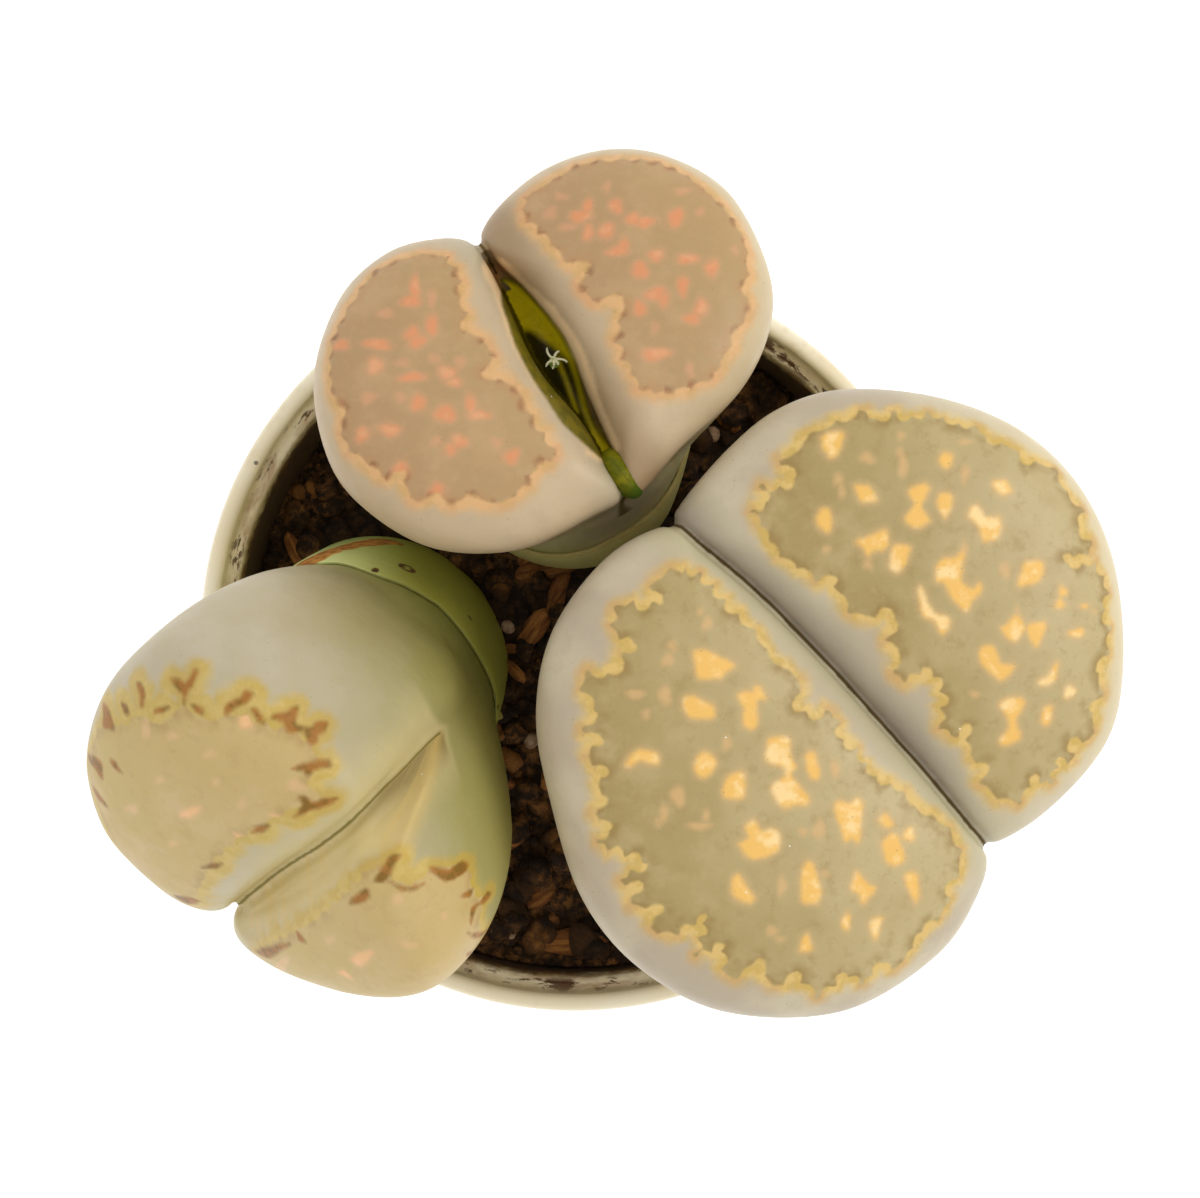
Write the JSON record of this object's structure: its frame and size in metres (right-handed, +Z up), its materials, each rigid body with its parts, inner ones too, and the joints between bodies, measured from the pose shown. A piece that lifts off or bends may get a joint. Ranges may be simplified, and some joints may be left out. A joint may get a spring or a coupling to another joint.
{
  "type": "potted lithops",
  "caption": "Living stones in a small round plastic nursery pot: cleft fleshy leaf pairs with windowed tops that spread and lean over the rim, in dark potting mix.",
  "frame": {"origin": "centre of the pot's flat underside", "axes": "+Z up along the pot's axis; +Y away from the viewer in the picture taken from above, +X to its right"},
  "size_m": [0.0735, 0.0622, 0.0763],
  "materials": {
    "pot_plastic": "satin cream plastic, soil-stained inside",
    "potting_mix": "rough, very dark, with bark and grit",
    "leaf_skin_grey_green": "waxy semi-matte skin, olive window with pale ochre islands",
    "leaf_skin_pink": "waxy semi-matte skin, taupe window with salmon islands",
    "leaf_skin_green": "waxy semi-matte skin, greenish with a yellow-edged beige window",
    "old_leaf_skin": "thin drying skin, matte",
    "young_leaf_skin": "smooth and moist",
    "dried_flower": "papery"
  },
  "bodies": {
    "root": {"pot": "pot_plastic", "soil": "potting_mix", "leaf_pair_right": "leaf_skin_grey_green", "old_sheath_right": "old_leaf_skin", "leaf_pair_top": "leaf_skin_pink", "old_sheath_top": "old_leaf_skin", "leaf_pair_left": "leaf_skin_green", "old_sheath_left": "old_leaf_skin", "young_leaf": "young_leaf_skin", "dried_flower": "dried_flower"}
  },
  "joints": []
}
